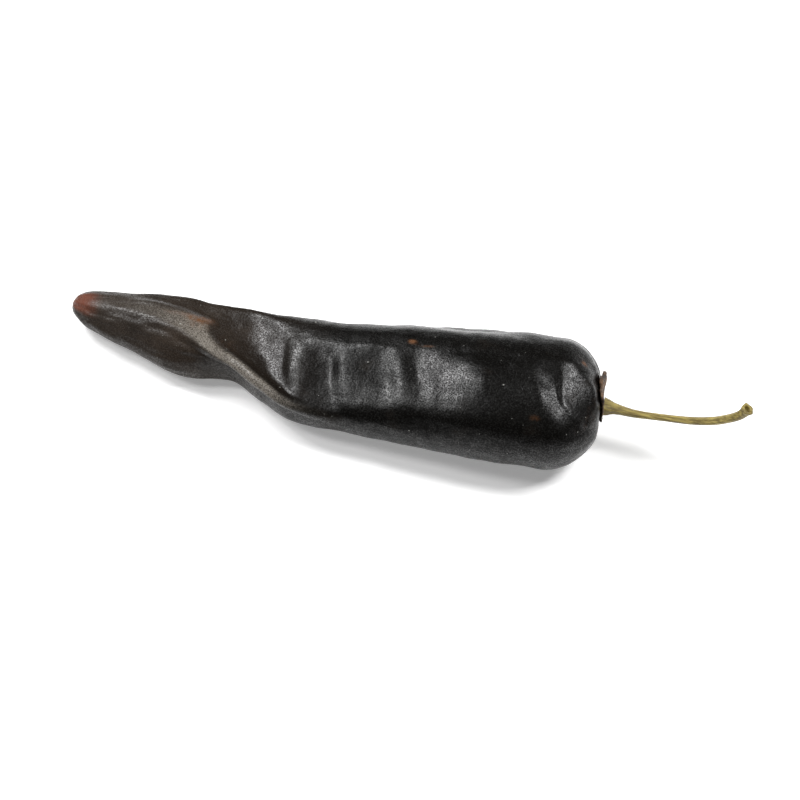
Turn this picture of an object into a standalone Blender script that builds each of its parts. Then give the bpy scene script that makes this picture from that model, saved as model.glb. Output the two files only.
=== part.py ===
"""One dried chilli, lying on the underside it has flattened: the shrivelled pod, its calyx and its stem.

Metres, +Z up. The stem end points along +X and the tip along -X, and Z = 0 is the surface that the pod rests on.
The pod is a round body of named widths and heights. Two soft planes press it and meet in its long fold, and the
fold, hollows, creases and wrinkles are then raised or sunk along the skin's own normals. The calyx is a thin lobed
cap that lies on the pod's blunt end, and the stem leaves its middle and turns up at the cut.
"""

import math

import bmesh
import bpy
from mathutils import Vector, noise
from mathutils.bvhtree import BVHTree

MM = 0.001
GAP = 0.3  # clearance between pieces that touch, mm
POD_END_X = 51.1  # X of the pod's stem end, which puts the middle of the whole chilli at X = 0, mm
POD_END_Y = 1.5  # Y of the middle of the pod's stem end, which puts the middle of the whole chilli at Y = 0, mm

# The pod. Stations are (run, value): run is the distance from the stem end towards the tip, in mm.
POD_LENGTH = 139.5
POD_RINGS = 68
POD_SIDES = 64
HALF_WIDTH = ((0, 17.6), (16, 17.4), (24, 17.8), (38, 17.0), (53, 15.9), (69, 14.8), (76, 14.0), (84, 11.8),
              (92, 10.1), (98, 9.8), (108, 10.4), (116, 9.0), (124, 7.2), (139, 4.2))
HALF_HEIGHT = ((0, 12.0), (14, 12.6), (30, 12.0), (50, 10.6), (66, 9.2), (76, 8.2), (84, 7.4), (92, 6.4), (100, 6.3),
               (110, 6.6), (124, 5.9), (139, 3.8))
BOW = ((0, 0.0), (9, -0.4), (16, -0.9), (30, -1.8), (46, -2.5), (62, -3.2), (76, -3.9), (84, -2.2), (92, 0.0),
       (98, -0.2), (105, -1.0), (120, 0.8), (139, 2.7))
TIP_LIFT = ((0, 0.0), (66, 0.1), (76, 0.5), (84, 1.0), (92, 1.5), (100, 1.6), (112, 1.4), (124, 1.3), (139, 2.4))
SINK = 0.6  # how much of the round underside the resting surface has flattened, mm
SQUARENESS = ((0, 2.25), (66, 2.25), (86, 3.2), (100, 3.2), (114, 2.4), (139, 2.25))  # 2 is an ellipse
BLUNT_END = (13.0, 2.0)  # length in mm of the rounded stem end, and how square it is
TIP_END = (6.5, 2.2)
END_SLANT, END_STRETCH = 0.06, 1.3  # how far the stem end leans back, mm for each mm, and how far it swells, mm
END_REACH = 30.0  # the length over which both fade, mm

# Soft planes that press the pod: their direction in degrees round the section, then their distance in mm.
# Round the section, 0 degrees is the front (-Y), 90 the top and 180 the back.
UPPER_FACE = (((0, 84), (15, 82), (30, 82), (48, 80), (60, 75), (71, 75), (80, 79), (88, 82), (98, 88), (106, 98),
               (139, 102)),
              ((0, 11.8), (20, 12.9), (30, 12.5), (40, 11.6), (50, 10.5), (58, 9.4), (66, 8.3), (76, 7.2), (84, 6.4),
               (92, 5.1), (100, 5.1), (108, 5.7), (120, 5.4), (139, 4.4)))
FLANK = (((0, 10), (80, 6), (90, 10), (96, 16), (102, 28), (110, 42), (125, 46), (139, 40)),
         ((0, 19.0), (60, 17.0), (76, 14.2), (84, 11.6), (90, 10.0), (96, 9.0), (102, 8.2), (112, 7.2), (120, 6.2),
          (130, 5.0), (139, 3.6)))
PRESS_SOFTNESS = 1.6  # mm

# The long fold: a rolled crest that winds from the top near the tip down to the front edge
FOLD_AROUND = ((57, 4), (60, 9), (63, 15), (67, 20), (73, 24), (80, 29), (87, 36), (93, 44), (97, 56), (100, 70),
               (103, 83), (107, 91), (113, 95), (120, 97), (132, 104))
FOLD_HEIGHT = ((54, 0.0), (64, 0.2), (71, 0.5), (77, 1.2), (84, 1.8), (92, 1.9), (102, 1.6), (112, 1.1), (124, 0.6),
               (134, 0.0))
FOLD_WIDTHS = (2.4, 3.2)  # towards the front and towards the back, mm

# Dents: run, degrees round, half length, width to the front or tip side, width to the back or stem side, depth in mm,
# and the degrees from the pod's length to the dent's
HOLLOWS = (
    (84.0, 73, 11.0, 4.6, 6.0, 2.3, 28),
    (89.0, 108, 22.0, 5.0, 8.0, 1.3, 6),
    (113, 107, 12.0, 1.5, 1.5, 0.45, -5),
    (136, 58, 6.0, 1.2, 1.2, 0.5, 0),
    (44, 30, 13.0, 4.5, 4.5, 0.3, 4),
    (36, 150, 16.0, 5.0, 5.0, 1.1, 8),
    (62, 168, 14.0, 5.0, 5.0, 1.4, -10),
    (92, 172, 12.0, 4.0, 4.0, 1.0, 12),
    (22, 196, 10.0, 6.0, 6.0, 0.8, -20),
    (50, 214, 20.0, 3.5, 3.5, 1.2, 6),
    (80, 322, 18.0, 3.5, 3.5, 0.9, -8),
    (34, 318, 15.0, 4.0, 4.0, 0.7, 10),
)
HOLLOW_RIM, HOLLOW_FLOOR = 0.2, 0.05  # how softly a dent's rim and its deepest line round over
WANDER_APART = 31.7  # where the patterns of the wandering are read
HOLLOW_WANDER = (6, 1.2, 7)  # over how many mm a dent's outline wanders, and how far: mm along, degrees round

# The ripples across the top: their height along the pod, and their strength round it
RIPPLES = ((0, 0.9), (2, 0.75), (4, 0.05), (6, -0.45), (8, -0.65), (9.8, -0.6), (11.2, -0.9), (16.2, 0.3),
           (18, 0.35), (28.2, 1.1), (29.6, 1.05), (40.5, -0.65), (43, -0.85), (46, -1.25), (49.8, -0.75), (54, -1.5),
           (63, -0.45), (64.8, -0.45), (68.6, -1.35), (76.5, 0.15), (80, 0.0))
RIPPLE_SHARE = ((38, 0.0), (56, 0.4), (70, 0.75), (80, 1.0), (90, 0.8), (104, 0.0))
RIPPLE_NARROWING = ((7, 0.6), (13, 1.0), (42, 1.0), (60, 0.5))  # how quickly that fades to the front, by run
RIPPLE_SLANT = ((42, 0.55), (66, 0.3))  # mm along the pod for each mm round it, by run
RIPPLE_LINE = 80  # the degrees round at which the ripples' runs are true
RIPPLE_WANDER = (8, 1.3)  # over how many mm a ripple wanders, and how far in mm

CALYX_SEAT = (7.0, 1.3)  # radius and depth of the dish that the calyx lies in, mm

# Creases that run in from the calyx over the shoulder: degrees round, depth in mm, and reach along the pod in mm
SHOULDER_CREASES = ((40, 0.12, 8), (118, 0.2, 9), (146, 0.35, 13), (181, 0.25, 9), (219, 0.4, 14), (262, 0.3, 10),
                    (318, 0.25, 11), (352, 0.15, 8))
CREASE_WIDTH = 7  # degrees

# The calyx and the stem. The stem's line is (out, back, up) from the middle of the calyx, in mm.
CALYX_BACK, CALYX_UP = 1.8, 0.2  # from the middle of the pod's end
CALYX_RADIUS = 3.8
CALYX_LOBES = ((138, 4.8), (86, 2.5), (193, 2.2), (243, 0.7), (295, 0.1), (345, 0.2), (36, 0.6))  # degrees round, mm
CALYX_LOBE_SPREAD = 23  # degrees from a lobe's middle to where it narrows
CALYX_RAGGED = (3.5, 0.16)  # how often the edge comes and goes round the calyx, and by what share of its reach
CALYX_THICKNESS = 1.0
CALYX_LIFT = (0.1, 0.15)  # how far the rim lifts off the pod, and how much further for each mm of lobe
CALYX_VEINS = (10, 0.12)  # how many run out from the stem, and their height in mm
CALYX_RINGS, CALYX_SIDES = 14, 56
STEM_LINE = ((0, 0.0, 0.0), (3.3, 0.0, -0.1), (8.2, 0.0, -0.5), (14.9, 0.0, 0.4), (21.7, 0.1, 1.5), (26.6, 0.3, 3.0),
             (30.0, 0.6, 4.9), (32.8, 1.0, 7.2), (34.4, 1.5, 10.2))
STEM_RADIUS = ((0, 2.3), (1.2, 2.0), (3.4, 1.35), (8.5, 0.98), (15.4, 0.86), (23, 0.96), (29, 1.03), (36, 1.1),
               (39, 1.25), (40.5, 1.6))
STEM_SIDES, STEM_STEPS = 20, 26
STEM_RIDGES = (5, 0.07, 0.05)  # how many ridges, their share of the radius, and their turn in radians for each mm
PITH = (0.85, 1.6)  # radius and depth of the hollow in the cut end, mm


def spline(stations, where, part=1):
    """A smooth curve through (place, value, ...) stations, level beyond both ends."""
    last = len(stations) - 1
    if where <= stations[0][0]:
        return stations[0][part]
    if where >= stations[last][0]:
        return stations[last][part]
    left = next(i for i in range(last) if where < stations[i + 1][0])
    span = stations[left + 1][0] - stations[left][0]
    t = (where - stations[left][0]) / span

    def slope(i):
        before, after = stations[max(i - 1, 0)], stations[min(i + 1, last)]
        return (after[part] - before[part]) / (after[0] - before[0]) * span

    rise = stations[left + 1][part] - stations[left][part]
    value = stations[left][part] + rise * t * t * (3 - 2 * t)
    return value + slope(left) * t * (1 - t) ** 2 - slope(left + 1) * t * t * (1 - t)


def end_cap(distance, length, power):
    """The share of its full size that the body has this far from a rounded end."""
    if distance >= length:
        return 1.0
    return (1 - (1 - max(distance, 0) / length) ** power) ** (1 / power)


def fullness(run):
    return end_cap(run, *BLUNT_END) * end_cap(POD_LENGTH - run, *TIP_END)


def pod_centre(run):
    """The middle of the section at this run, in mm."""
    height = spline(HALF_HEIGHT, run) - SINK + spline(TIP_LIFT, run)
    return Vector((POD_END_X - run, POD_END_Y + spline(BOW, run), height))


def soft_over(amount, softness):
    """Amount where it is positive and 0 where it is negative, with a round bend between."""
    return (amount + math.sqrt(amount * amount + softness * softness)) / 2


def pressed(point, centre, run, face):
    """The point, moved back to the soft plane where it stands past it."""
    angle = math.radians(spline(face[0], run))
    normal = Vector((0, -math.cos(angle), math.sin(angle)))
    reach = (point - centre).dot(normal) - spline(face[1], run) * max(fullness(run), 0.05)
    return point - normal * soft_over(reach, PRESS_SOFTNESS * fullness(run))


def body_point(run, around):
    """A point of the smooth pod, in mm."""
    angle = math.radians(around)
    power = 2 / spline(SQUARENESS, run)
    across = math.copysign(abs(math.cos(angle)) ** power, math.cos(angle))
    up = math.copysign(abs(math.sin(angle)) ** power, math.sin(angle))
    full = fullness(run)
    centre = pod_centre(run)
    point = centre + Vector((0, -spline(HALF_WIDTH, run) * across * full, spline(HALF_HEIGHT, run) * up * full))
    for face in (UPPER_FACE, FLANK):
        point = pressed(point, centre, run, face)
    point.x += (END_STRETCH - END_SLANT * (point.y - centre.y)) * max(0, 1 - run / END_REACH) ** 2
    return point


def off_line(run, around, middle):
    """How far round the skin this place is from the given direction, in mm."""
    radius = (spline(HALF_WIDTH, run) + spline(HALF_HEIGHT, run)) / 2
    return math.radians((around - middle + 180) % 360 - 180) * radius


def fold(run, around):
    off = off_line(run, around, spline(FOLD_AROUND, run))
    return spline(FOLD_HEIGHT, run) * math.exp(-((off / FOLD_WIDTHS[off > 0]) ** 4))


def wander(point, size):
    """Smooth noise, from about -1 to 1, that comes and goes over this length: along the pod, and round it."""
    place = point / size
    return noise.noise(place + Vector((WANDER_APART, 0, 0))), noise.noise(place + Vector((0, WANDER_APART, 0)))


def hollows(point, run, around):
    """How deep the dents are here; their outlines wander a little from true ovals."""
    size, along_sway, round_sway = HOLLOW_WANDER
    along, round_ = wander(point, size)
    run, around = run + along_sway * along, around + round_sway * round_
    depth = 0.0
    for place, middle, length, front, back, deepest, turn in HOLLOWS:
        along, off = run - place, off_line(place, around, middle)
        cos, sin = math.cos(math.radians(turn)), math.sin(math.radians(turn))
        aside = off * cos - along * sin
        reach = ((along * cos + off * sin) / length) ** 2 + (aside / (back if aside > 0 else front)) ** 2
        if reach < 4:
            inward = 1 - math.sqrt(reach + HOLLOW_FLOOR)
            depth += deepest * (soft_over(inward, HOLLOW_RIM) - soft_over(-1, HOLLOW_RIM))
    return depth


def ripples(point, run, around):
    """The low ripples that cross the top on a slant."""
    size, sway = RIPPLE_WANDER
    place = run - spline(RIPPLE_SLANT, run) * off_line(run, around, RIPPLE_LINE)
    place += sway * wander(point, size)[0]
    off = (around - RIPPLE_LINE + 180) % 360 - 180
    if off < 0:
        off *= spline(RIPPLE_NARROWING, run)
    return spline(RIPPLES, place) * spline(RIPPLE_SHARE, RIPPLE_LINE + off)


def shoulder_creases(run, around):
    depth = 0.0
    for middle, deepest, reach in SHOULDER_CREASES:
        off = (around - middle + 180) % 360 - 180
        depth += deepest * math.exp(-((off / CREASE_WIDTH) ** 2)) * math.exp(-((run / reach) ** 4))
    return depth


def wrinkles(point):
    """Broad shallow wrinkles, long ones along the pod and low ripples across it."""
    along = noise.noise(Vector((point.x / 26, point.y / 6.5, point.z / 6.5 + 3.1)))
    across = noise.noise(Vector((point.x / 7.5, point.y / 16, point.z / 16 + 9.7)))
    return 0.4 * along + 0.3 * across


def calyx_centre():
    return pod_centre(0) + Vector((0, CALYX_BACK, CALYX_UP))


def calyx_seat(point):
    """How deep the pod's end is sunk round the calyx."""
    off = point - calyx_centre()
    radius, depth = CALYX_SEAT
    return depth * math.exp(-((math.hypot(off.y, off.z) / radius) ** 4))


def even_runs(rings):
    """Runs from end to end that space the rings evenly along the skin."""
    fine = 2000
    runs, lengths, before = [0.0], [0.0], 0.0
    for i in range(1, fine + 1):
        run = POD_LENGTH * (1 - math.cos(math.pi * i / fine)) / 2
        size = spline(HALF_WIDTH, run) * fullness(run)
        lengths.append(lengths[-1] + math.hypot(run - runs[-1], size - before))
        runs.append(run)
        before = size
    spaced, i = [], 0
    for ring in range(rings + 1):
        goal = lengths[-1] * ring / rings
        while i < fine - 1 and lengths[i + 1] < goal:
            i += 1
        spaced.append(runs[i] + (runs[i + 1] - runs[i]) * (goal - lengths[i]) / (lengths[i + 1] - lengths[i]))
    return spaced


def ball(rings, sides):
    """A sphere's mesh, with the ring and the degrees round of each of its points, to be laid out as another body."""
    bm = bmesh.new()
    bmesh.ops.create_uvsphere(bm, u_segments=sides, v_segments=rings, radius=1)
    places = {}
    for vert in bm.verts:
        ring = round(math.acos(max(-1, min(1, vert.co.z))) / math.pi * rings)
        places[vert] = (ring, math.degrees(math.atan2(vert.co.y, vert.co.x)) % 360)
    return bm, places


def face_out(bm):
    """Turns the faces over where the body's volume comes out negative."""
    if bm.calc_volume(signed=True) < 0:
        bmesh.ops.reverse_faces(bm, faces=bm.faces)
    bm.normal_update()


def make_pod():
    bm, places = ball(POD_RINGS, POD_SIDES)
    runs = even_runs(POD_RINGS)
    for vert, (ring, around) in places.items():
        vert.co = body_point(runs[ring], around)
    face_out(bm)
    moved = {}
    for vert, (ring, around) in places.items():
        run = runs[ring]
        relief = fold(run, around) - hollows(vert.co, run, around) + ripples(vert.co, run, around)
        relief += wrinkles(vert.co) - shoulder_creases(run, around)
        moved[vert] = vert.co + vert.normal * relief * min(1, fullness(run) * 1.4)
        if run < 20:
            moved[vert].x -= calyx_seat(moved[vert])
    for vert, point in moved.items():
        vert.co = Vector((point.x, point.y, max(point.z, 0))) * MM
    return bm


def calyx_edge(around):
    """How far the calyx reaches from its middle, in mm, and how far its rim lifts off the pod."""
    reach, lift = CALYX_RADIUS, CALYX_LIFT[0]
    for middle, lobe in CALYX_LOBES:
        off = (around - middle + 180) % 360 - 180
        share = math.exp(-((off / CALYX_LOBE_SPREAD) ** 4))
        reach += lobe * share
        lift += CALYX_LIFT[1] * lobe * share
    often, ragged = CALYX_RAGGED
    place = Vector((math.cos(math.radians(around)), math.sin(math.radians(around)), 0)) * often
    return reach * (1 + ragged * noise.noise(place)), lift


def make_calyx(pod):
    """A thin cap whose inner face follows the pod's end, with blunt lobes that thicken and lift at the rim."""
    skin = BVHTree.FromBMesh(pod)
    bm, places = ball(CALYX_RINGS, CALYX_SIDES)
    middle = calyx_centre()
    veins, vein_height = CALYX_VEINS
    for vert, (ring, around) in places.items():
        outward = math.sin(math.pi * ring / CALYX_RINGS) ** 0.8
        side = math.cos(math.pi * ring / CALYX_RINGS)
        side = math.copysign(abs(side) ** 0.45, side)
        reach, lift = calyx_edge(around)
        angle = math.radians(around)
        across = Vector((0, -math.cos(angle), math.sin(angle))) * reach * outward
        start = middle + across + Vector((20, 0, 0))
        hit = skin.ray_cast(start * MM, Vector((-1, 0, 0)))[0]
        lie = hit.x / MM + GAP + lift * outward**4
        vein = vein_height * math.cos(math.radians(around * veins)) * outward * (1 - outward)
        thick = CALYX_THICKNESS * (0.6 + 0.25 * (reach - CALYX_RADIUS) * outward**2)
        vert.co = Vector((lie + thick * (1 + side) / 2 + vein * (side > 0), start.y, start.z)) * MM
    face_out(bm)
    return bm


def make_stem(calyx):
    """A ridged stalk that turns up at its flared, hollow cut end."""
    line = [Vector(place) for place in STEM_LINE]
    lengths = [0.0]
    for before, after in zip(line, line[1:]):
        lengths.append(lengths[-1] + (after - before).length)
    stations = [(length, *place) for length, place in zip(lengths, line)]
    whole = lengths[-1]

    def place_at(where):
        return Vector([spline(stations, where, part) for part in (1, 2, 3)])

    base = calyx_centre()
    hit = BVHTree.FromBMesh(calyx).ray_cast(base * MM + Vector((20 * MM, 0, 0)), Vector((-1, 0, 0)))[0]
    base.x = hit.x / MM + GAP
    rings = [(0.0, 0.0), (0.0, 0.9)]
    rings += [(whole * (i / STEM_STEPS) ** 1.2, 1.0) for i in range(STEM_STEPS + 1)]
    rings += [(whole, 0.0), (whole - 0.3, 0.0), (whole - PITH[1], 0.0), (whole - PITH[1], 0.0)]
    bm, places = ball(len(rings) - 1, STEM_SIDES)
    bore = (PITH[0] * 1.15, PITH[0], PITH[0] * 0.8, 0.0)
    ridges, ridge_height, ridge_turn = STEM_RIDGES
    for vert, (ring, around) in places.items():
        where, share = rings[ring]
        angle = math.radians(around)
        radius = spline(STEM_RADIUS, where / whole * STEM_RADIUS[-1][0]) * share
        radius *= 1 + ridge_height * math.cos(ridges * angle + ridge_turn * where)
        inner = ring - (len(rings) - 4)
        if inner >= 0:
            radius = bore[inner]
        ahead = (place_at(min(where + 0.5, whole)) - place_at(max(where - 0.5, 0))).normalized()
        across = Vector((0, 1, 0)).cross(ahead).normalized()
        point = base + place_at(where) + (across * math.sin(angle) + ahead.cross(across) * math.cos(angle)) * radius
        vert.co = point * MM
    face_out(bm)
    return bm


def add_object(name, bm, material):
    mesh = bpy.data.meshes.new(name)
    bm.to_mesh(mesh)
    bm.free()
    mesh.shade_smooth()
    mesh.materials.append(material)
    obj = bpy.data.objects.new(name, mesh)
    bpy.context.scene.collection.objects.link(obj)
    return obj


def plain_material(name, colour, roughness):
    material = bpy.data.materials.new(name)
    material.use_nodes = True
    shader = material.node_tree.nodes["Principled BSDF"]
    shader.inputs["Base Color"].default_value = (*colour, 1)
    shader.inputs["Roughness"].default_value = roughness
    shader.inputs["Metallic"].default_value = 0
    return material


def main():
    for obj in list(bpy.data.objects):
        bpy.data.objects.remove(obj)
    pod = make_pod()
    calyx = make_calyx(pod)
    stem = make_stem(calyx)
    add_object("pod", pod, plain_material("pod_skin", (0.016, 0.011, 0.009), 0.36))
    add_object("calyx", calyx, plain_material("calyx_brown", (0.13, 0.065, 0.03), 0.75))
    add_object("stem", stem, plain_material("stem_tan", (0.27, 0.20, 0.07), 0.7))


main()
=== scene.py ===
import math
from functools import lru_cache

import bmesh
import bpy
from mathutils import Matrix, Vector, noise
from mathutils.bvhtree import BVHTree


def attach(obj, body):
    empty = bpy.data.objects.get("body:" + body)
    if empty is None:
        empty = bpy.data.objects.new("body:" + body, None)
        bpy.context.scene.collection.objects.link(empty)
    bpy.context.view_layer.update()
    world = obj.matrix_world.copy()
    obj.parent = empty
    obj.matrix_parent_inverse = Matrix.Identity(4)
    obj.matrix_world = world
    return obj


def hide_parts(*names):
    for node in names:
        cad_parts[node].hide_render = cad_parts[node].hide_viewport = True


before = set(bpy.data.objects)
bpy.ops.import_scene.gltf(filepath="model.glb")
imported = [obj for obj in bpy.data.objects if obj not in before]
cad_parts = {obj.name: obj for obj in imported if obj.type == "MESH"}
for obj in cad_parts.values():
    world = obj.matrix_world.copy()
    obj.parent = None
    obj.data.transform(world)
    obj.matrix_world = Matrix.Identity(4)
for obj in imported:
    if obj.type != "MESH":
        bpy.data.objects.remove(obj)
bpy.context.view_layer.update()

# The pod: a near-black leathery skin that has shrunk and folded as it dried, lying on the underside it has
# flattened. A long fold winds from the top near the tip down to the front edge, hollows lie above the fold,
# and fine creases run in from the calyx. Stations are (run, value): run is mm from the stem end to the tip.
# Lengths are in mm.
MM = 0.001
POD_END_X, POD_END_Y = 51.1, 1.5
POD_LENGTH = 139.5
POD_RINGS, POD_SIDES = 420, 200
HALF_WIDTH = ((0, 17.6), (16, 17.4), (24, 17.8), (38, 17.0), (53, 15.9), (69, 14.8), (76, 14.0), (84, 11.8),
              (92, 10.1), (98, 9.8), (108, 10.4), (116, 9.0), (124, 7.2), (139, 4.2))
HALF_HEIGHT = ((0, 12.0), (14, 12.6), (30, 12.0), (50, 10.6), (66, 9.2), (76, 8.2), (84, 7.4), (92, 6.4),
               (100, 6.3), (110, 6.6), (124, 5.9), (139, 3.8))
# How far the pod's middle lies to the back, and how far its underside lifts
BOW = ((0, 0.0), (9, -0.4), (16, -0.9), (30, -1.8), (46, -2.5), (62, -3.2), (76, -3.9), (84, -2.2),
       (92, 0.0), (98, -0.2), (105, -1.0), (120, 0.8), (139, 2.7))
TIP_LIFT = ((0, 0.0), (66, 0.1), (76, 0.5), (84, 1.0), (92, 1.5), (100, 1.6), (112, 1.4), (124, 1.3),
            (139, 2.4))
SINK = 0.6  # how much of the underside is pressed flat
SQUARENESS = ((0, 2.25), (66, 2.25), (86, 3.2), (100, 3.2), (114, 2.4), (139, 2.25))
BLUNT_END, TIP_END = (13.0, 2.0), (6.5, 2.2)  # the length and the fullness of the rounding at each end
END_SLANT, END_STRETCH, END_REACH = 0.06, 1.3, 30.0  # the blunt end's slant and bulge, and how far they reach
# Two soft planes press the pod: degrees round its section (0 front, 90 top, 180 back), and mm from its middle
UPPER_FACE = (((0, 84), (15, 82), (30, 82), (48, 80), (60, 75), (71, 75), (80, 79), (88, 82), (98, 88),
               (106, 98), (139, 102)),
              ((0, 11.8), (20, 12.9), (30, 12.5), (40, 11.6), (50, 10.5), (58, 9.4), (66, 8.3), (76, 7.2),
               (84, 6.4), (92, 5.1), (100, 5.1), (108, 5.7), (120, 5.4), (139, 4.4)))
FLANK = (((0, 10), (80, 6), (90, 10), (96, 16), (102, 28), (110, 42), (125, 46), (139, 40)),
         ((0, 19.0), (60, 17.0), (76, 14.2), (84, 11.6), (90, 10.0), (96, 9.0), (102, 8.2), (112, 7.2),
          (120, 6.2), (130, 5.0), (139, 3.6)))
PRESS_SOFTNESS = 1.6
# The long fold: the degrees round to its crest, its height, and its widths towards the front and the back
FOLD_AROUND = ((57, 4), (60, 9), (63, 15), (67, 20), (73, 24), (80, 29), (87, 36), (93, 44), (97, 56),
               (100, 70), (103, 83), (107, 91), (113, 95), (120, 97), (132, 104))
FOLD_HEIGHT = ((54, 0.0), (64, 0.2), (71, 0.5), (77, 1.2), (84, 1.8), (92, 1.9), (102, 1.6), (112, 1.1),
               (124, 0.6), (134, 0.0))
FOLD_WIDTHS = (2.4, 3.2)
# Dents, and swellings with a minus: run, degrees round, half length, width to the front or tip side, width to
# the back or stem side, depth in mm, and the degrees from the pod's length to the dent's
HOLLOWS = (
    (84.0, 73, 11.0, 4.6, 6.0, 2.3, 28),
    (89.0, 108, 22.0, 5.0, 8.0, 1.3, 6),
    (113, 107, 12.0, 1.5, 1.5, 0.45, -5),
    (136, 58, 6.0, 1.2, 1.2, 0.5, 0),
    (44, 30, 13.0, 4.5, 4.5, 0.3, 4),
    (36, 150, 16.0, 5.0, 5.0, 1.1, 8),
    (62, 168, 14.0, 5.0, 5.0, 1.4, -10),
    (92, 172, 12.0, 4.0, 4.0, 1.0, 12),
    (22, 196, 10.0, 6.0, 6.0, 0.8, -20),
    (50, 214, 20.0, 3.5, 3.5, 1.2, 6),
    (80, 322, 18.0, 3.5, 3.5, 0.9, -8),
    (34, 318, 15.0, 4.0, 4.0, 0.7, 10),
)
# Small folds in the hollow, given as the dents are
SMALL_FOLDS = (
    (78.5, 74, 3.4, 2.0, 1.8, -0.3, 80),
    (81.0, 84, 3.0, 1.6, 1.6, 0.2, 70),
)
HOLLOW_RIM, HOLLOW_FLOOR = 0.2, 0.05  # how softly a dent's rim and its floor are rounded
WANDER_APART = 31.7  # where the patterns of the wandering are read
HOLLOW_WANDER = (6, 1.2, 7)  # over what length a dent's outline wanders, and how far along and round
# The ripples across the top: their height along the pod, and their strength round it
RIPPLES = ((0, 0.9), (2, 0.75), (4, 0.05), (6, -0.45), (8, -0.65), (9.8, -0.6), (11.2, -0.9), (16.2, 0.3),
           (18, 0.35), (28.2, 1.1), (29.6, 1.05), (40.5, -0.65), (43, -0.85), (46, -1.25), (49.8, -0.75),
           (54, -1.5), (63, -0.45), (64.8, -0.45), (68.6, -1.35), (76.5, 0.15), (80, 0.0))
RIPPLE_SHARE = ((38, 0.0), (56, 0.4), (70, 0.75), (80, 1.0), (90, 0.8), (104, 0.0))
RIPPLE_NARROWING = ((7, 0.6), (13, 1.0), (42, 1.0), (60, 0.5))  # how soon they fade on the front side
RIPPLE_SLANT = ((42, 0.55), (66, 0.3))  # mm along the pod for each mm round it
RIPPLE_LINE = 80  # the degrees round at which the ripples' runs are true
RIPPLE_WANDER = (8, 1.3)  # over what length the ripples wander, and how far along
# Creases that run in from the calyx: degrees round, depth in mm, and reach along the pod in mm
SHOULDER_CREASES = ((40, 0.12, 8), (118, 0.2, 9), (146, 0.35, 13), (181, 0.25, 9), (219, 0.4, 14),
                    (262, 0.3, 10), (318, 0.25, 11), (352, 0.15, 8))
CREASE_WIDTH, CREASES_END = 7, 24  # degrees, and the run past which there are none
# Wrinkles: length along the pod and across it, where their pattern is read, and height, in mm
LONG_WRINKLES, CROSS_WRINKLES = (26, 6.5, 3.1, 0.4), (7.5, 16, 9.7, 0.3)
FINE_WRINKLES, FINE_DIMPLES, FURROWS = (7, 1.9, 0, 0.045), (2.6, 3.0, 40, 0.05), (16, 1.5, 20, 0.16)
FURROWS_START = (-40, 14)  # the furrows come in past this x, over this length
# Rusty marks: run, degrees round, half length and half width in mm, and strength
RUST = ((49.0, 112, 1.3, 0.7, 0.9), (45.0, 108, 2.6, 0.6, 0.45), (6.7, 115, 1.1, 1.1, 0.6),
        (15.4, 54, 1.6, 1.1, 0.5), (104, 98, 3.6, 1.3, 0.7), (111, 101, 5.0, 0.9, 0.4),
        (96, 78, 6.0, 2.5, 0.25), (3.0, 60, 2.0, 12.0, 0.25))
TIP_RED = (128, 137, 84, 50)  # runs between which the tip reddens, then the degrees round and their spread
CREST_WEAR_AND_HIGHLIGHT = (6, 1.6)  # how narrow the fold's pale line is, and the rise at which it shows in full; the line is lighter partly from wear and partly from a painted highlight along the crest
FULL_RELIEF = 1.4  # how soon the relief comes to its full height from an end
CALYX_BACK, CALYX_UP = 1.8, 0.2  # the calyx's middle, from the middle of the pod's end
CALYX_SEAT, SEAT_END = (7.0, 1.3), 20  # the calyx's dish: radius and depth, and the run where it stops
BLACK, SOFT_BLACK = (0.0015, 0.0013, 0.001, 1), (0.007, 0.0068, 0.006, 1)
# The crest's pale colour stands partly for wear and partly for a painted highlight along the fold's crest
BROWN, WORN_AND_HIGHLIGHT, DUSTY = (0.036, 0.026, 0.019, 1), (0.165, 0.148, 0.127, 1), (0.28, 0.28, 0.26, 1)
RUSTY, RED = (0.10, 0.045, 0.020, 1), (0.115, 0.036, 0.020, 1)


def spline(stations, where, part=1):
    """A smooth curve through (place, value, ...) stations, level beyond both ends."""
    last = len(stations) - 1
    if where <= stations[0][0]:
        return stations[0][part]
    if where >= stations[last][0]:
        return stations[last][part]
    left = next(i for i in range(last) if where < stations[i + 1][0])
    span = stations[left + 1][0] - stations[left][0]
    t = (where - stations[left][0]) / span

    def slope(i):
        before, after = stations[max(i - 1, 0)], stations[min(i + 1, last)]
        return (after[part] - before[part]) / (after[0] - before[0]) * span

    rise = stations[left + 1][part] - stations[left][part]
    value = stations[left][part] + rise * t * t * (3 - 2 * t)
    return value + slope(left) * t * (1 - t) ** 2 - slope(left + 1) * t * t * (1 - t)


def end_cap(distance, length, power):
    """The share of its full size that the pod has this far from a rounded end."""
    if distance >= length:
        return 1.0
    return (1 - (1 - max(distance, 0) / length) ** power) ** (1 / power)


def soft_over(amount, softness):
    """Amount where it is positive and 0 where it is negative, with a round bend between."""
    return (amount + math.sqrt(amount * amount + softness * softness)) / 2


@lru_cache(None)
def section(run):
    """The pod's section at this run: its middle, half sizes, fullness, planes, fold and squareness."""
    width, height = spline(HALF_WIDTH, run), spline(HALF_HEIGHT, run)
    middle = Vector((POD_END_X - run, POD_END_Y + spline(BOW, run), height - SINK + spline(TIP_LIFT, run)))
    full = end_cap(run, *BLUNT_END) * end_cap(POD_LENGTH - run, *TIP_END)
    planes = []
    for face in (UPPER_FACE, FLANK):
        angle = math.radians(spline(face[0], run))
        distance = spline(face[1], run) * max(full, 0.05)
        planes.append((Vector((0, -math.cos(angle), math.sin(angle))), distance))
    crest, rise = spline(FOLD_AROUND, run), spline(FOLD_HEIGHT, run)
    return middle, width, height, full, planes, crest, rise, spline(SQUARENESS, run)


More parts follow.
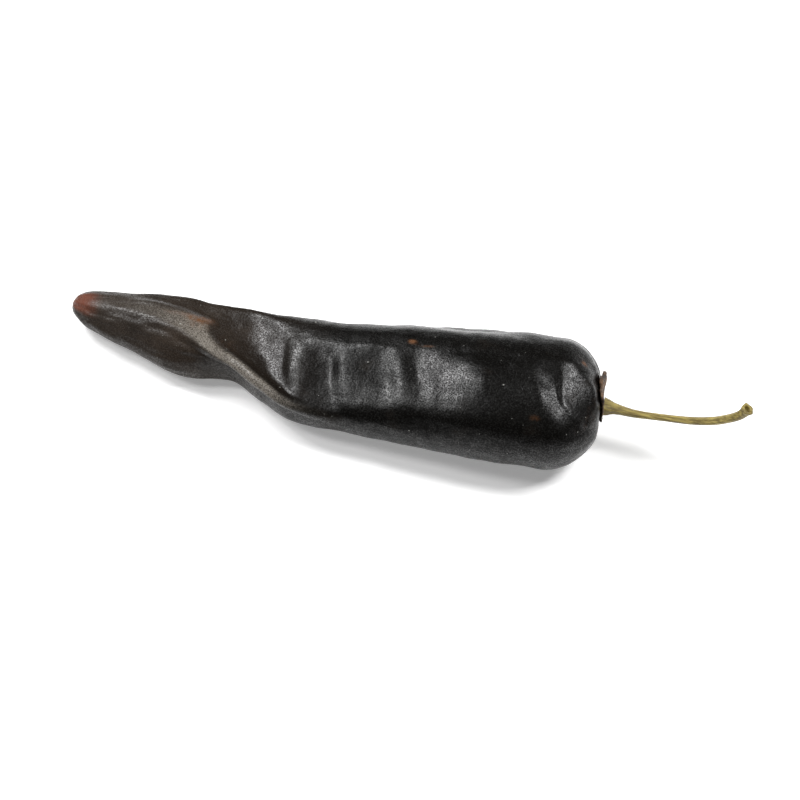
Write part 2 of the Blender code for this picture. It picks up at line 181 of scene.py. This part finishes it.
def body_point(run, around):
    """A point of the smooth pod, in mm."""
    middle, width, height, full, planes, _, _, square = section(run)
    angle = math.radians(around)
    power = 2 / square
    across = math.copysign(abs(math.cos(angle)) ** power, math.cos(angle))
    up = math.copysign(abs(math.sin(angle)) ** power, math.sin(angle))
    point = middle + Vector((0, -width * across * full, height * up * full))
    for normal, distance in planes:
        point -= normal * soft_over((point - middle).dot(normal) - distance, PRESS_SOFTNESS * full)
    point.x += (END_STRETCH - END_SLANT * (point.y - middle.y)) * max(0, 1 - run / END_REACH) ** 2
    return point


def off_line(run, around, middle):
    """How far round the skin this place is from the given direction, in mm."""
    _, width, height, *_ = section(run)
    return math.radians((around - middle + 180) % 360 - 180) * (width + height) / 2


def fold(run, around):
    """The rise of the long fold, and how close this place is to its crest, from 0 to 1."""
    *_, crest, rise, _ = section(run)
    off = off_line(run, around, crest)
    near = math.exp(-((off / FOLD_WIDTHS[off > 0]) ** 4))
    return rise * near, near


def wander(point, size):
    """Smooth noise, from about -1 to 1, that comes and goes over this length: along the pod, and round it."""
    place = point / size
    return noise.noise(place + Vector((WANDER_APART, 0, 0))), noise.noise(place + Vector((0, WANDER_APART, 0)))


def hollows(point, run, around, dents=HOLLOWS):
    """How deep the dents are here; their outlines wander a little from true ovals."""
    size, along_sway, round_sway = HOLLOW_WANDER
    along, round_ = wander(point, size)
    run, around = run + along_sway * along, around + round_sway * round_
    depth = 0.0
    for place, middle, length, front, back, deepest, turn in dents:
        if abs(run - place) > 2 * max(length, front, back):
            continue
        along, off = run - place, off_line(place, around, middle)
        cos, sin = math.cos(math.radians(turn)), math.sin(math.radians(turn))
        aside = off * cos - along * sin
        reach = ((along * cos + off * sin) / length) ** 2 + (aside / (back if aside > 0 else front)) ** 2
        if reach < 4:
            inward = 1 - math.sqrt(reach + HOLLOW_FLOOR)
            depth += deepest * (soft_over(inward, HOLLOW_RIM) - soft_over(-1, HOLLOW_RIM))
    return depth


def ripples(point, run, around):
    """The low ripples that cross the top on a slant."""
    size, sway = RIPPLE_WANDER
    place = run - spline(RIPPLE_SLANT, run) * off_line(run, around, RIPPLE_LINE)
    place += sway * wander(point, size)[0]
    off = (around - RIPPLE_LINE + 180) % 360 - 180
    if off < 0:
        off *= spline(RIPPLE_NARROWING, run)
    return spline(RIPPLES, place) * spline(RIPPLE_SHARE, RIPPLE_LINE + off)


def shoulder_creases(run, around):
    """The creases that run in from the calyx over the rounded end."""
    if run > CREASES_END:
        return 0.0
    depth = 0.0
    for middle, deepest, reach in SHOULDER_CREASES:
        off = (around - middle + 180) % 360 - 180
        depth += deepest * math.exp(-((off / CREASE_WIDTH) ** 2)) * math.exp(-((run / reach) ** 4))
    return depth


def rust(run, around):
    """How rusty the skin is here, from 0 to 1."""
    share = 0.0
    for place, middle, length, width, strength in RUST:
        along, aside = (run - place) / length, off_line(place, around, middle) / width
        share += strength * math.exp(-(along**2) - aside**2)
    return min(1, share)


def tip_red(run, around):
    """How red the tip is here, from 0 to 1."""
    start, end, middle, spread = TIP_RED
    t = max(0, min(1, (run - start) / (end - start)))
    return t * t * (3 - 2 * t) * math.exp(-((((around - middle + 180) % 360 - 180) / spread) ** 4))


def drawn_out(point, length, width, start):
    """Where a pattern that is drawn out to this length and width is read."""
    return Vector((point.x / length, point.y / width, point.z / width + start))


def wrinkles(point):
    """Broad shallow wrinkles, long ones along the pod and low ripples across it."""
    *along, long_height = LONG_WRINKLES
    *across, cross_height = CROSS_WRINKLES
    relief = long_height * noise.noise(drawn_out(point, *along))
    return relief + cross_height * noise.noise(drawn_out(point, *across))


def fine_wrinkles(point):
    """The skin's small wrinkles and dimples, and the furrows towards the tip."""
    *fine, fine_height = FINE_WRINKLES
    *dimples, dimple_height = FINE_DIMPLES
    *furrows, furrow_height = FURROWS
    start, over = FURROWS_START
    relief = fine_height * noise.fractal(drawn_out(point, *fine), 0.9, 2.1, 3)
    relief += dimple_height * noise.fractal(drawn_out(point, *dimples), 0.9, 2.0, 3)
    furrowed = max(0, min(1, (start - point.x) / over))
    return relief + furrow_height * noise.noise(drawn_out(point, *furrows)) * furrowed


def calyx_centre():
    """The middle of the calyx, in the dish of the pod's end, in mm."""
    return section(0.0)[0] + Vector((0, CALYX_BACK, CALYX_UP))


def calyx_seat(point):
    """How deep the pod's end is sunk round the calyx."""
    off = point - calyx_centre()
    radius, depth = CALYX_SEAT
    return depth * math.exp(-((math.hypot(off.y, off.z) / radius) ** 4))


def even_runs(rings):
    """Runs from end to end that space the rings evenly along the skin."""
    fine = 4000
    runs, lengths, before = [0.0], [0.0], 0.0
    for i in range(1, fine + 1):
        run = POD_LENGTH * (1 - math.cos(math.pi * i / fine)) / 2
        size = spline(HALF_WIDTH, run) * end_cap(run, *BLUNT_END) * end_cap(POD_LENGTH - run, *TIP_END)
        lengths.append(lengths[-1] + math.hypot(run - runs[-1], size - before))
        runs.append(run)
        before = size
    spaced, i = [], 0
    for ring in range(rings + 1):
        goal = lengths[-1] * ring / rings
        while i < fine - 1 and lengths[i + 1] < goal:
            i += 1
        spaced.append(runs[i] + (runs[i + 1] - runs[i]) * (goal - lengths[i]) / (lengths[i + 1] - lengths[i]))
    return spaced


def ball(rings, sides, *layers):
    """A sphere's mesh, with the ring and the degrees round of its points, to be laid out as another body."""
    bm = bmesh.new()
    for name in layers:
        bm.verts.layers.float.new(name)
    bmesh.ops.create_uvsphere(bm, u_segments=sides, v_segments=rings, radius=1)
    places = []
    for vert in bm.verts:
        ring = round(math.acos(max(-1, min(1, vert.co.z))) / math.pi * rings)
        places.append((vert, ring, math.degrees(math.atan2(vert.co.y, vert.co.x)) % 360))
    return bm, places


def face_out(bm):
    """Turns the faces over where the body's volume comes out negative."""
    if bm.calc_volume(signed=True) < 0:
        bmesh.ops.reverse_faces(bm, faces=bm.faces)
    bm.normal_update()


def add_piece(name, bm, node):
    """The mesh as an object that stands for a CAD node."""
    mesh = bpy.data.meshes.new(name)
    bm.to_mesh(mesh)
    mesh.shade_smooth()
    piece = bpy.data.objects.new(name, mesh)
    bpy.context.scene.collection.objects.link(piece)
    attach(piece, "root")
    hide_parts(node)
    return piece


class Value:
    """A shader socket that arithmetic works on."""

    def __init__(self, surface, socket):
        self.surface, self.socket = surface, socket

    def maths(self, operation, *values):
        return self.surface.node("ShaderNodeMath", {"operation": operation}, dict(enumerate(values)))

    def __add__(self, other):
        return self.maths("ADD", self, other)

    __radd__ = __add__

    def __sub__(self, other):
        return self.maths("SUBTRACT", self, other)

    def __rsub__(self, other):
        return self.maths("SUBTRACT", other, self)

    def __mul__(self, other):
        return self.maths("MULTIPLY", self, other)

    __rmul__ = __mul__

    def between(self, low, high):
        """0 below low, 1 above high, and smooth between."""
        return self.surface.node("ShaderNodeMapRange", {"interpolation_type": "SMOOTHSTEP"},
                                 {"Value": self, "From Min": low, "From Max": high})


class Surface:
    """A material that is put together node by node."""

    def __init__(self, name):
        self.material = bpy.data.materials.new(name)
        self.material.use_nodes = True
        self.tree = self.material.node_tree
        self.shader = self.tree.nodes["Principled BSDF"]

    def link(self, value, socket):
        """Sets the socket to a number or a colour, or links a value to it."""
        if isinstance(value, Value):
            self.tree.links.new(value.socket, socket)
        else:
            socket.default_value = value

    def node(self, kind, settings=None, inputs=None, output=0):
        """Adds a node with its settings and the values or links of its sockets."""
        made = self.tree.nodes.new(kind)
        for key, value in (settings or {}).items():
            setattr(made, key, value)
        for key, value in (inputs or {}).items():
            self.link(value, made.inputs[key])
        return Value(self, made.outputs[output])

    def noise(self, place, scale, detail, roughness):
        return self.node("ShaderNodeTexNoise", {"normalize": True},
                         {"Vector": place, "Scale": scale, "Detail": detail, "Roughness": roughness})

    def attribute(self, name):
        return self.node("ShaderNodeAttribute", {"attribute_name": name}, {}, "Fac")

    def mix(self, share, first, second):
        """The colour that lies this share of the way from the first to the second."""
        return self.node("ShaderNodeMix", {"data_type": "RGBA"}, {0: share, 6: first, 7: second}, 2)

    def finish(self, colour, roughness, height, distance):
        """Joins the colour, the roughness and the relief to the shader."""
        bump = self.node("ShaderNodeBump", {}, {"Height": height, "Strength": 1.0, "Distance": distance})
        for name, value in (("Base Color", colour), ("Roughness", roughness), ("Normal", bump)):
            self.link(value, self.shader.inputs[name])
        return self.material


layers = ("crest", "rust", "tip", "red")
pod, places = ball(POD_RINGS, POD_SIDES, *layers)
runs = even_runs(POD_RINGS)
for vert, ring, around in places:
    vert.co = body_point(runs[ring], around)
face_out(pod)
crest_layer, rust_layer, tip_layer, red_layer = (pod.verts.layers.float[name] for name in layers)
narrow, full_rise = CREST_WEAR_AND_HIGHLIGHT
moved = []
for vert, ring, around in places:
    run = runs[ring]
    rise, near = fold(run, around)
    dent = hollows(vert.co, run, around) + hollows(vert.co, run, around, SMALL_FOLDS)
    relief = rise - dent + ripples(vert.co, run, around) - shoulder_creases(run, around)
    relief += wrinkles(vert.co) + fine_wrinkles(vert.co)
    point = vert.co + vert.normal * relief * min(1, section(run)[3] * FULL_RELIEF)
    if run < SEAT_END:
        point.x -= calyx_seat(point)
    moved.append(Vector((point.x, point.y, max(point.z, 0))) * MM)
    # The crest mask, which carries the wear and the painted highlight along the fold
    vert[crest_layer] = near**narrow * min(1, rise / full_rise) ** 2
    vert[rust_layer] = rust(run, around)
    vert[red_layer] = tip_red(run, around)
    vert[tip_layer] = run / POD_LENGTH
for (vert, _, _), point in zip(places, moved):
    vert.co = point
pod_skin = Surface("pod_skin")
place = pod_skin.node("ShaderNodeTexCoord", {}, {}, "Object")
crest, rusty, tip, red = (pod_skin.attribute(name) for name in layers)
patches = pod_skin.noise(place, 95, 4, 0.6)
blotches = pod_skin.noise(place, 260, 3, 0.6)
specks = pod_skin.noise(place, 700, 4, 0.7)
grain = pod_skin.noise(place, 1700, 2, 0.7)
pebbles = pod_skin.noise(place, 900, 2, 0.6)
fine = pod_skin.noise(place, 3000, 1, 0.6)
dust = pod_skin.noise(place, 1700, 0, 0.5).between(0.85, 0.89)
# The fold's crest is lightened: partly wear on the skin, partly a painted highlight along the crest
worn_and_highlight = crest * (fine.between(0.3, 0.75) * 1.1 + blotches * 0.6)
brown = tip.between(0.45, 0.8) * (patches * 0.8 + 0.2) * (fine * 1.2 + 0.3)
brown = brown + patches.between(0.55, 0.75) * 0.2
rusty = (rusty * (specks * 2.2 - 0.1)).between(0.15, 0.95)
red = red * (specks + 0.4)
colour = pod_skin.mix(fine.between(0.5, 0.75), BLACK, SOFT_BLACK)
colour = pod_skin.mix(brown, colour, BROWN)
colour = pod_skin.mix(worn_and_highlight, colour, WORN_AND_HIGHLIGHT)
colour = pod_skin.mix(rusty, colour, RUSTY)
colour = pod_skin.mix(red.between(0.1, 1.0), colour, RED)
colour = pod_skin.mix(dust, colour, DUSTY)
roughness = 0.26 + patches * 0.12 + tip.between(0.68, 0.88) * 0.16
skin = pod_skin.finish(colour, roughness, grain + pebbles * 0.4, 0.00014)
sheen = fine.between(0.38, 0.72) * (blotches.between(0.35, 0.65) * 0.7 + 0.5)
pod_skin.link(sheen, pod_skin.shader.inputs["Coat Weight"])
for name, value in (("Coat Roughness", 0.3), ("Coat IOR", 1.38), ("Specular IOR Level", 0.12)):
    pod_skin.link(value, pod_skin.shader.inputs[name])
pod_piece = add_piece("pod_skin", pod, "pod")
pod_piece.data.materials.append(skin)

# The calyx: the dry brown cap that held the fruit, a thin leaf that lies in the dish of the pod's end. Its
# lobes are blunt and ragged, and lift at the rim.
CALYX_RADIUS = 3.8
# Lobes: degrees round, and mm beyond the radius
CALYX_LOBES = ((138, 4.8), (86, 2.5), (193, 2.2), (243, 0.7), (295, 0.1), (345, 0.2), (36, 0.6))
CALYX_LOBE_SPREAD = 23  # degrees from a lobe's middle to where it narrows
CALYX_RAGGED = (3.5, 0.16)  # how often the edge comes and goes, and by what share of its reach
CALYX_LIFT = (0.1, 0.15)  # how far the rim lifts off the pod, and how much further for each mm of lobe
CALYX_THICKNESS, CALYX_SWELL = 1.0, (0.6, 0.25)  # its share at the middle, and what each mm of lobe adds
CALYX_FULLNESS, CALYX_BLUNTNESS = 0.8, 0.45  # how evenly it spreads outwards, and how blunt its edge is
CALYX_VEINS = (10, 0.12)  # how many run out from the stem, and their height
CALYX_GAP = 0.02  # between its underside and the skin
CLEAR = 20  # mm beyond the pod's end, well outside it
CALYX_RINGS, CALYX_SIDES = 40, 180
DARK_LEAF, PALE_LEAF = (0.022, 0.012, 0.008, 1), (0.15, 0.085, 0.045, 1)
CRACKED_LEAF = (0.018, 0.010, 0.007, 1)

end_skin = BVHTree.FromBMesh(pod)
often, ragged = CALYX_RAGGED
veins, vein_height = CALYX_VEINS
calyx, places = ball(CALYX_RINGS, CALYX_SIDES)
for vert, ring, around in places:
    outward = math.sin(math.pi * ring / CALYX_RINGS) ** CALYX_FULLNESS
    side = math.cos(math.pi * ring / CALYX_RINGS)
    side = math.copysign(abs(side) ** CALYX_BLUNTNESS, side)
    reach, lift = CALYX_RADIUS, CALYX_LIFT[0]
    for middle, lobe in CALYX_LOBES:
        share = math.exp(-((((around - middle + 180) % 360 - 180) / CALYX_LOBE_SPREAD) ** 4))
        reach += lobe * share
        lift += CALYX_LIFT[1] * lobe * share
    angle = math.radians(around)
    reach *= 1 + ragged * noise.noise(Vector((math.cos(angle), math.sin(angle), 0)) * often)
    start = calyx_centre() + Vector((CLEAR, -math.cos(angle) * reach * outward,
                                     math.sin(angle) * reach * outward))
    hit = end_skin.ray_cast(start * MM, Vector((-1, 0, 0)))[0]
    vein = vein_height * math.cos(math.radians(around * veins)) * outward * (1 - outward)
    thick = CALYX_THICKNESS * (CALYX_SWELL[0] + CALYX_SWELL[1] * (reach - CALYX_RADIUS) * outward**2)
    x = hit.x / MM + CALYX_GAP + lift * outward**4 + thick * (1 + side) / 2 + vein * (side > 0)
    vert.co = Vector((x, start.y, start.z)) * MM
face_out(calyx)
calyx_brown = Surface("calyx_brown")
place = calyx_brown.node("ShaderNodeTexCoord", {}, {}, "Object")
stains = calyx_brown.noise(place, 420, 5, 0.7)
cracks = calyx_brown.noise(place, 1500, 4, 0.7)
colour = calyx_brown.mix(stains.between(0.38, 0.62), DARK_LEAF, PALE_LEAF)
colour = calyx_brown.mix(cracks.between(0.5, 0.35), colour, CRACKED_LEAF)
brown_leaf = calyx_brown.finish(colour, 0.7, stains * 0.5 + cracks, 0.0003)
calyx_piece = add_piece("calyx_leaf", calyx, "calyx")
calyx_piece.data.materials.append(brown_leaf)

# The stem: a dry ridged stalk, olive-tan with brown streaks, grown out of the calyx's middle. It turns up at
# its cut end, which has flared and dried hollow round the pith. Its line is (out, back, up) from the middle
# of the calyx, and its radius (length along it, radius).
STEM_LINE = ((0, 0.0, 0.0), (3.3, 0.0, -0.1), (8.2, 0.0, -0.5), (14.9, 0.0, 0.4), (21.7, 0.1, 1.5),
             (26.6, 0.3, 3.0), (30.0, 0.6, 4.9), (32.8, 1.0, 7.2), (34.4, 1.5, 10.2))
STEM_RADIUS = ((0, 2.3), (1.2, 2.0), (3.4, 1.35), (8.5, 0.98), (15.4, 0.86), (23, 0.96), (29, 1.03),
               (36, 1.1), (39, 1.25), (40.5, 1.6))
STEM_RIDGES = (5, 0.07, 0.05)  # how many, their share of the radius, and their turn in radians for each mm
STEM_SIDES, STEM_STEPS, STEP_SPREAD = 64, 160, 1.2
STEM_ROOT = 0.1  # how far its foot is sunk in the calyx
PITH_RADIUS, PITH_DEPTH, PITH_RIM = 0.85, 1.6, 0.3
PITH_SHARES = (1.15, 1.0, 0.8, 0.0)  # the hollow's radius from its rim in to the middle of its floor
STREAK_STRETCH = 0.12
STREAK, STALK = (0.12, 0.085, 0.018, 1), (0.33, 0.26, 0.065, 1)

line = [Vector(point) for point in STEM_LINE]
lengths = [0.0]
for before, after in zip(line, line[1:]):
    lengths.append(lengths[-1] + (after - before).length)
stem_stations = [(length, *point) for length, point in zip(lengths, line)]
whole = lengths[-1]


def stem_place(where):
    """A point on the stem's line, from its root, in mm."""
    return Vector([spline(stem_stations, where, part) for part in (1, 2, 3)])


# Each ring's length along the stem and its share of the radius, from the root to the cut end and the hollow
rings = [(0.0, 0.0), (0.0, 0.9)]
rings += [(whole * (i / STEM_STEPS) ** STEP_SPREAD, 1.0) for i in range(STEM_STEPS + 1)]
rings += [(whole, 0.0), (whole - PITH_RIM, 0.0), (whole - PITH_DEPTH, 0.0), (whole - PITH_DEPTH, 0.0)]
ridges, ridge_height, ridge_turn = STEM_RIDGES
stem, places = ball(len(rings) - 1, STEM_SIDES)
base = calyx_centre()
outside = base * MM + Vector((CLEAR * MM, 0, 0))
leaf_face = BVHTree.FromBMesh(calyx).ray_cast(outside, Vector((-1, 0, 0)))[0]
base.x = leaf_face.x / MM - STEM_ROOT
for vert, ring, around in places:
    where, share = rings[ring]
    angle = math.radians(around)
    radius = spline(STEM_RADIUS, where * STEM_RADIUS[-1][0] / whole) * share
    radius *= 1 + ridge_height * math.cos(ridges * angle + where * ridge_turn)
    inner = ring - (len(rings) - len(PITH_SHARES))
    if inner >= 0:
        radius = PITH_RADIUS * PITH_SHARES[inner]
    ahead = (stem_place(min(where + 0.5, whole)) - stem_place(max(where - 0.5, 0))).normalized()
    across = Vector((0, 1, 0)).cross(ahead).normalized()
    sideways = across * math.sin(angle) + ahead.cross(across) * math.cos(angle)
    vert.co = (base + stem_place(where) + sideways * radius) * MM
face_out(stem)
stem_tan = Surface("stem_tan")
place = stem_tan.node("ShaderNodeTexCoord", {}, {}, "Object")
long = stem_tan.node("ShaderNodeMapping", {}, {"Vector": place, "Scale": (STREAK_STRETCH, 1, 1)})
streaks = stem_tan.noise(long, 1500, 4, 0.6)
colour = stem_tan.mix(streaks.between(0.35, 0.7), STREAK, STALK)
dry_stalk = stem_tan.finish(colour, 0.6, streaks, 0.0002)
stem_piece = add_piece("stem_stalk", stem, "stem")
stem_piece.data.materials.append(dry_stalk)

# The floor, the lamps and the camera: a white sheet, soft lamps high to the left and right with a weak broad
# one overhead, and a long lens that looks down at the pod.
FLOOR_SIZE, FLOOR_WHITE, FLOOR_GLOW = 3, (0.88, 0.88, 0.88, 1), 0.28  # the size is half its width in metres
ROOM_GLOW = 0.02

floor_mesh = bmesh.new()
bmesh.ops.create_grid(floor_mesh, x_segments=1, y_segments=1, size=FLOOR_SIZE)
mesh = bpy.data.meshes.new("floor")
floor_mesh.to_mesh(mesh)
floor = bpy.data.objects.new("floor", mesh)
bpy.context.scene.collection.objects.link(floor)
paper = Surface("floor_white")
for name, value in (("Base Color", FLOOR_WHITE), ("Emission Color", (1, 1, 1, 1)),
                    ("Emission Strength", FLOOR_GLOW), ("Roughness", 0.9)):
    paper.link(value, paper.shader.inputs[name])
mesh.materials.append(paper.material)


def soft_lamp(name, place, size, power):
    """A soft rectangular lamp that shines at the pod: its place and size in metres, and its watts."""
    data = bpy.data.lights.new(name, "AREA")
    data.shape = "RECTANGLE"
    data.size, data.size_y = size
    data.energy = power
    lamp = bpy.data.objects.new(name, data)
    lamp.location = place
    lamp.rotation_euler = (-Vector(place)).to_track_quat("-Z", "Y").to_euler()
    bpy.context.scene.collection.objects.link(lamp)


soft_lamp("left", (-0.60, 0.28, 0.75), (0.30, 0.26), 8)
soft_lamp("left_front", (-0.64, -0.08, 0.76), (0.22, 0.54), 3.6)
soft_lamp("overhead", (0.1, -0.47, 0.88), (1.1, 0.9), 0.4)
soft_lamp("right", (0.53, 0.30, 0.79), (0.30, 0.28), 10)

world = bpy.data.worlds.new("studio")
world.use_nodes = True
world.node_tree.nodes["Background"].inputs["Color"].default_value = (1, 1, 1, 1)
world.node_tree.nodes["Background"].inputs["Strength"].default_value = ROOM_GLOW
bpy.context.scene.world = world
bpy.context.scene.view_settings.view_transform = "Standard"

AZIMUTH, ELEVATION = math.radians(13.7), math.radians(60)
LENS, SENSOR, VIEW_WIDTH = 85, 36, 0.200
AIM = Vector((0.00175, -0.00610, 0.01000))
back = Vector((math.sin(AZIMUTH) * math.cos(ELEVATION), -math.cos(AZIMUTH) * math.cos(ELEVATION),
               math.sin(ELEVATION)))
camera_data = bpy.data.cameras.new("camera")
camera_data.lens, camera_data.sensor_width = LENS, SENSOR
camera = bpy.data.objects.new("camera", camera_data)
camera.location = AIM + back * VIEW_WIDTH * LENS / SENSOR
camera.rotation_euler = back.to_track_quat("Z", "Y").to_euler()
bpy.context.scene.collection.objects.link(camera)
bpy.context.scene.camera = camera
